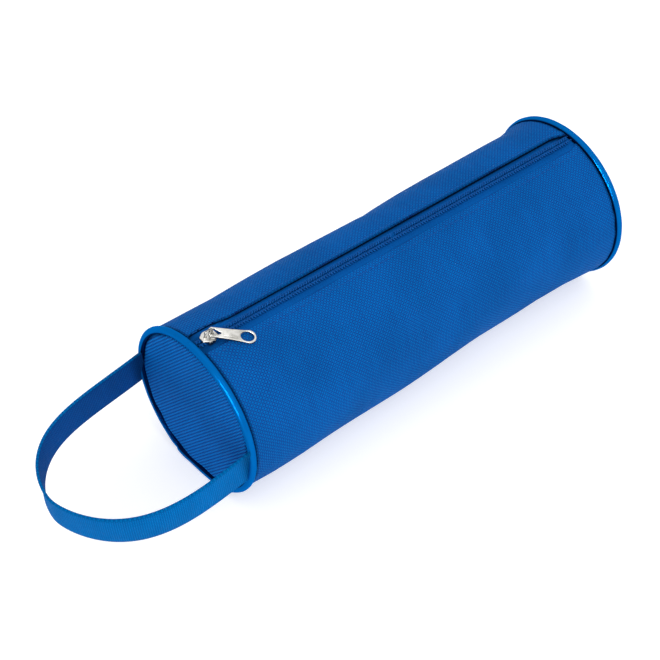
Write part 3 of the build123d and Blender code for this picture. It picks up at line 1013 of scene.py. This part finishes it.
slider_frame = ZIPPER @ shift(SLIDER_X, 0, 0)
wedge = circle(-SLIDER_LENGTH / 2 + 1.3, 0, 0.85, 0.34, 20)
flange = rounded([(-1.7, -0.25), (1.7, -0.25), (1.7, 0.25), (-1.7, 0.25)], 0.2, 3)
slider_parts = [
    slider_plate(shield(SLIDER_WIDTH), SLIDER_ROOF, SLIDER_TOP, 0.28),
    slider_plate(shield(SLIDER_WIDTH - 0.4), SLIDER_BASE, SLIDER_FLOOR, 0.25),
    slider_plate(wedge, SLIDER_FLOOR - 0.2, SLIDER_ROOF + 0.2, 0.08),
    slider_plate(flange, FLANGE_LOW, FLANGE_HIGH, 0.12, -2.9),
    slider_plate(flange, FLANGE_LOW, FLANGE_HIGH, 0.12, 2.9),
]
slider = joined("slider_shell", slider_parts, slider_frame[:3, 2])

arch = [(-LEG, 0, SLIDER_TOP - 0.25), (-LEG, 0, 41.4), (-LEG, 0, 42.6)]
arch += [(LEG * math.sin(t), 0, 42.75 + 0.55 * math.cos(t)) for t in np.radians(np.linspace(-75, 75, 9))]
arch += [(-x, y, z) for x, y, z in arch[2::-1]]
feet = [slider_plate(circle(x, 0, 0.85, 0.7, 20), SLIDER_TOP - 0.15, SLIDER_TOP + 0.35, 0.16)
        for x in (-LEG, LEG)]
bridge = joined("slider_arch", [swept_bar(arch, 0.8, 0.6, slider_frame)] + feet, slider_frame[:3, 1])

tab_frame = (ZIPPER @ shift(SLIDER_X + 0.45, 0, TAB_HEIGHT) @ turn("Z", -TAB_SWIVEL)
             @ turn("Y", TAB_SLOPE) @ turn("X", TAB_ROLL))
head = [(-0.45, -1.35), (0.5, -2.3), (4.3, -2.35), (9.5, -2.5), (14.0, -2.85)]
ring_end = [(TAB_END[0] + TAB_END[1] * math.cos(t), TAB_END[1] * math.sin(t))
            for t in np.radians(np.linspace(-98, 98, 26))]
outline = rounded(head + [(x, -y) for x, y in head[::-1]], [0.8, 0.7, 3, 6, 0.1, 0.1, 6, 3, 0.7, 0.8])
split = next(k for k, (x, y) in enumerate(outline) if y > 0 and x > 13.0)
outline = outline[:split] + ring_end + outline[split:]
eye = rounded([(0.45, -1.5), (2.2, -1.55), (4.9, -0.4), (4.9, 0.4), (2.2, 1.55), (0.45, 1.5)], 0.4, 5)
hole = circle(16.0, 0, 2.95, 2.3, 36)
tab_parts = [plate([outline, eye[::-1], hole[::-1]], 1.0, 0.27, tab_frame)]
panel = rounded([(5.9, -1.3), (11.9, -1.5), (11.9, 1.5), (5.9, 1.3)], 0.5, 4)
tab_parts.append(plate([panel], 0.5, 0.18, tab_frame @ shift(0, 0, 0.45)))
tab = joined("pull_tab_plate", tab_parts, tab_frame[:3, 2])
for made, carrier, node in (
    (slider, "slider", "slider_body"), (bridge, "slider", "slider_bridge"), (tab, "pull_tab", "pull_tab"),
):
    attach(made, carrier)
    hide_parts(node)


# ---------------------------------------------------------------- carrying loop

def rim_anchor(angle):
    """Point on the near rim where the webbing is sewn in."""
    turned = math.radians(angle)
    return np.array([-HALF, STRAP_RADIUS * math.cos(turned), AXIS + STRAP_RADIUS * math.sin(turned)])


def strap_line(part):
    """Middle of the webbing from the back end, 0, to the front end, 1."""
    back, front = rim_anchor(STRAP_ENDS[0]), rim_anchor(STRAP_ENDS[1])
    across = unit(back - front)
    droop = math.radians(STRAP_DROOP)
    out = np.array([-math.cos(droop), 0, -math.sin(droop)])
    out = unit(out - across * out.dot(across))
    half = np.linalg.norm(back - front) / 2
    turned = np.pi * (part - np.sin(2 * np.pi * part) / (2 * np.pi))
    side = np.sign(np.cos(turned)) * np.abs(np.cos(turned)) ** STRAP_SIDE_POWER
    tip = np.maximum(np.sin(turned), 0) ** STRAP_TIP_POWER
    v = half * side + STRAP_SKEW * tip * tip
    middle = (back + front) / 2
    line = middle + (STRAP_REACH * tip)[:, None] * out + v[:, None] * across
    normal = np.cross(out, across)
    normal *= np.sign(normal[2])
    return line, unit(normal - math.tan(math.radians(STRAP_LEAN)) * np.array([0, 1.0, 0]))


def even(line, count):
    """The same line at equal steps along it."""
    run = run_along(line)
    at = np.linspace(0, run[-1], count)
    return np.stack([np.interp(at, run, line[:, k]) for k in range(3)], -1), at


def strap():
    """One length of webbing: both sewn-in ends and the loop."""
    fine, lean = strap_line(np.linspace(0, 1, 1600))
    line, at = even(fine[1:-1], 230)
    for _ in range(6):
        line[1:-1] = (line[:-2] + 2 * line[1:-1] + line[2:]) / 4
    ends = []
    for tip, inside in ((line[0], line[3]), (line[-1], line[-4])):
        into = unit(unit(tip - inside) * 0.4 + np.array([0.9, 0, 0]))
        ends.append(tip + np.outer(STRAP_TUCK, into))
    line = np.concatenate([ends[0][::-1], line, ends[1]])
    at = np.concatenate([at[0] - STRAP_TUCK[::-1], at, at[-1] + STRAP_TUCK])
    face = unit(np.cross(unit(np.gradient(line, axis=0)), lean))
    face *= np.sign(((line - line.mean(0)) * face).sum(1).mean())
    across = np.linspace(-1, 1, 17)
    half = STRAP_WIDTH / 2 - STRAP_THICKNESS / 2
    outer, inner, weave = [], [], []
    for k in range(len(line)):
        wave = 0.25 * math.sin(at[k] * 0.05 + 1.0) * (1 - across ** 2)
        cup = 0.35 * (across ** 2) * math.sin(at[k] * 0.034)
        base = line[k] + np.outer(across * half, lean) + np.outer(wave + cup, face[k])
        outer.append(base + face[k] * STRAP_THICKNESS / 2)
        inner.append(base - face[k] * STRAP_THICKNESS / 2)
        # Painted shade: the webbing goes dark where each end goes into the seam, and a little along both
        # edges.
        root = 0.5 * (1 - smooth(min(at[k], at[-1] - at[k]), 1.5, 7))
        shade = np.maximum(0.2 * (np.abs(across) > 0.99), root)
        weave.append(np.stack([np.full(len(across), at[k]), across * half, shade], -1))
    return lofted("strap_webbing", outer, inner, weave, [WEBBING, WEBBING_INNER_SHADED], 60)


webbing = strap()
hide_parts("strap_loop", "strap_end_front", "strap_end_back")
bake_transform(webbing)


# ---------------------------------------------------------------- end cloths looked up by name

for end in lips:
    made = bpy.data.objects[end + "_end_cloth"]


# ---------------------------------------------------------------- floor, light and camera

def bright_floor(name, grey):
    """Pale sheet that glows a little, as a lit backdrop does."""
    shader = Shader(name)
    speck = shader.noise(shader.object_coords(), 40.0)
    pale, soft = (grey, grey, grey, 1.0), (grey * 0.985, grey * 0.985, grey * 0.985, 1.0)
    return shader.finish(shader.mix(speck, pale, soft), 0.9, Emission_Color=(1.0, 1.0, 1.0, 1.0),
                         Emission_Strength=0.5, Specular_IOR_Level=0.1)


FLOOR_HALF = 6.0
corners = [(x * FLOOR_HALF, y * FLOOR_HALF, 0) for x, y in ((-1, -1), (1, -1), (1, 1), (-1, 1))]
floor_mesh = bpy.data.meshes.new("floor")
floor_mesh.from_pydata(corners, [], [(0, 1, 2, 3)])
floor_mesh.materials.append(bright_floor("floor_white", 0.72))
floor = add_object("floor", floor_mesh)

world = bpy.data.worlds.new("studio")
bpy.context.scene.world = world
world.use_nodes = True
background = world.node_tree.nodes["Background"]
background.inputs["Color"].default_value = (1.0, 1.0, 1.0, 1.0)
background.inputs["Strength"].default_value = 0.92


def area_light(name, spot, target, size, power, roll=0.0):
    """Soft rectangular light, rolled about its own axis."""
    data = bpy.data.lights.new(name, "AREA")
    data.shape = "RECTANGLE"
    data.size, data.size_y = size
    data.energy = power
    lamp = add_object(name, data)
    lamp.location = spot
    lamp.rotation_mode = "QUATERNION"
    facing = (Vector(target) - Vector(spot)).to_track_quat("-Z", "Y")
    lamp.rotation_quaternion = facing @ Quaternion((0, 0, 1), math.radians(roll))
    return lamp


area_light("key", (-0.22, -0.95, 0.95), (-0.05, 0, 0.04), (0.4, 1.3), 5.0)
area_light("top", (0.2, 0.3, 1.5), (0, 0, 0.03), (1.6, 1.2), 2.0)
strip = area_light("strip", (-1.10, -0.46, 0.39), (-0.11, -0.02, 0.05), (0.10, 0.8), 22.0, 33.0)
strip.visible_diffuse = False

lens = bpy.data.cameras.new("camera")
lens.sensor_width = 36.0
lens.lens = 122.02
lens.clip_start = 0.01
lens.clip_end = 50.0
camera = add_object("camera", lens)
camera.location = Vector((-508.57, -542.76, 668.87 + AXIS)) * MM
heading, pitch = math.radians(41.139), math.radians(42.853)
aim = Vector((math.sin(heading) * math.cos(pitch), math.cos(heading) * math.cos(pitch), -math.sin(pitch)))
camera.rotation_mode = "QUATERNION"
camera.rotation_quaternion = aim.to_track_quat("-Z", "Y")
bpy.context.scene.camera = camera
bpy.context.scene.view_settings.view_transform = "Standard"
